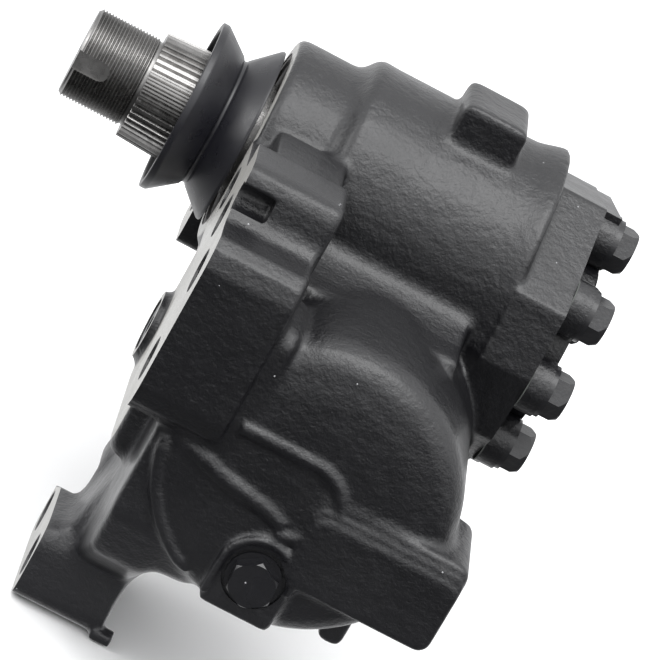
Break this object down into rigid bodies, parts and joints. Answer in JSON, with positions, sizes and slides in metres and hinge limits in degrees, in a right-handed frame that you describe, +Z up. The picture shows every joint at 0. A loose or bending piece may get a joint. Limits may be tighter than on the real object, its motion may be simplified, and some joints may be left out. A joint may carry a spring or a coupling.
{
  "type": "integral hydraulic power steering gear",
  "caption": "Heavy-truck power steering gear: closed cylinder with rack piston and worm, crossing sector shaft with serrated, threaded output end, rubber boot, bolted side cover and frame pads.",
  "frame": {"origin": "on the sector shaft axis, in the plane of the frame mounting face around the output seal", "axes": "-X along the sector shaft out of the housing towards the pitman arm; +Y along the piston axis towards the input shaft; +Z up, from the piston to the sector shaft"},
  "size_m": [0.253, 0.3965, 0.2755],
  "materials": {
    "housing_paint": "semi-gloss black paint over sand-cast iron",
    "cover_paint": "semi-gloss black paint over sand-cast iron",
    "bolt_paint": "black paint over plated steel",
    "machined_steel": "turned, bare",
    "hardened_steel": "ground",
    "piston_iron": "machined, oiled",
    "boot_rubber": "satin black moulded rubber",
    "seal_rubber": "nitrile",
    "gasket": "gasket sheet",
    "plastic_ring": "filled fluoropolymer",
    "spring_steel": "ground",
    "fitting_steel": "zinc plated"
  },
  "bodies": {
    "housing": {"gear_housing": "housing_paint", "side_cover": "cover_paint", "side_cover_gasket": "gasket", "side_cover_o_ring": "seal_rubber", "side_cover_bolts": "bolt_paint", "adjusting_screw": "machined_steel", "adjuster_lock_nut": "bolt_paint", "adjuster_retainer": "hardened_steel", "bleed_screw": "bolt_paint", "dirt_seal": "seal_rubber", "output_seal": "seal_rubber", "seal_support_ring": "plastic_ring", "output_bearing_cup": "hardened_steel", "cover_bearing_cup": "hardened_steel", "valve_housing": "housing_paint", "valve_housing_gasket": "gasket", "valve_housing_bolts": "bolt_paint", "valve_bore_cap": "bolt_paint", "input_bearing_cup": "hardened_steel", "input_seal": "seal_rubber", "port_fittings": "fitting_steel", "limiter_plug": "bolt_paint", "side_plug": "bolt_paint", "housing_thrust_washers": "hardened_steel", "worm_bearing_retainer": "hardened_steel"},
    "sector": {"sector_shaft": "machined_steel", "dust_boot": "boot_rubber"},
    "output_roller_set": {"output_bearing_rollers": "hardened_steel", "output_bearing_cage": "hardened_steel"},
    "cover_roller_set": {"cover_bearing_rollers": "hardened_steel"},
    "piston": {"rack_piston": "piston_iron", "piston_ring": "plastic_ring", "ball_return_guides": "hardened_steel", "guide_clamp": "hardened_steel", "guide_clamp_screws": "hardened_steel", "recirculating_balls": "hardened_steel"},
    "worm": {"worm_shaft": "hardened_steel", "valve_sleeve": "hardened_steel", "sleeve_seal_rings": "plastic_ring", "worm_thrust_washers": "hardened_steel"},
    "thrust_roller_set": {"thrust_rollers": "hardened_steel"},
    "needle_set": {"input_bearing_needles": "hardened_steel"},
    "input": {"input_shaft": "machined_steel", "torsion_bar": "spring_steel", "input_dust_seal": "boot_rubber"}
  },
  "joints": [
    {"name": "sector_rotation", "type": "hinge", "parent": "housing", "child": "sector", "pos_m": [0, 0, 0], "axis": [1, 0, 0], "range_deg": [-48, 48]},
    {"name": "rack_piston_slide", "type": "slide", "parent": "housing", "child": "piston", "axis": [0, 1, 0], "range_m": [-0.032, 0.032]},
    {"name": "worm_rotation", "type": "hinge", "parent": "housing", "child": "worm", "pos_m": [0.081, 0, -0.077], "axis": [0, 1, 0], "range_deg": [-960, 960]},
    {"name": "output_roller_orbit", "type": "hinge", "parent": "housing", "child": "output_roller_set", "pos_m": [0, 0, 0], "axis": [1, 0, 0], "range_deg": [-22, 22]},
    {"name": "cover_roller_orbit", "type": "hinge", "parent": "housing", "child": "cover_roller_set", "pos_m": [0, 0, 0], "axis": [1, 0, 0], "range_deg": [-22, 22]},
    {"name": "thrust_roller_orbit", "type": "hinge", "parent": "housing", "child": "thrust_roller_set", "pos_m": [0.081, 0, -0.077], "axis": [0, 1, 0], "range_deg": [-480, 480]},
    {"name": "needle_orbit", "type": "hinge", "parent": "housing", "child": "needle_set", "pos_m": [0.081, 0, -0.077], "axis": [0, 1, 0], "range_deg": [-430, 430]},
    {"name": "valve_twist", "type": "hinge", "parent": "worm", "child": "input", "pos_m": [0.081, 0, -0.077], "axis": [0, 1, 0], "range_deg": [-7, 7], "stiffness_Nm_per_rad": 70}
  ],
  "couplings": [
    {"joint": "rack_piston_slide", "follows": "sector_rotation", "m_per_rad": 0.038},
    {"joint": "worm_rotation", "follows": "sector_rotation", "ratio": -19.897},
    {"joint": "output_roller_orbit", "follows": "sector_rotation", "ratio": 0.43802},
    {"joint": "cover_roller_orbit", "follows": "sector_rotation", "ratio": 0.43689},
    {"joint": "thrust_roller_orbit", "follows": "sector_rotation", "ratio": -9.9484},
    {"joint": "needle_orbit", "follows": "sector_rotation", "ratio": -8.8886}
  ]
}
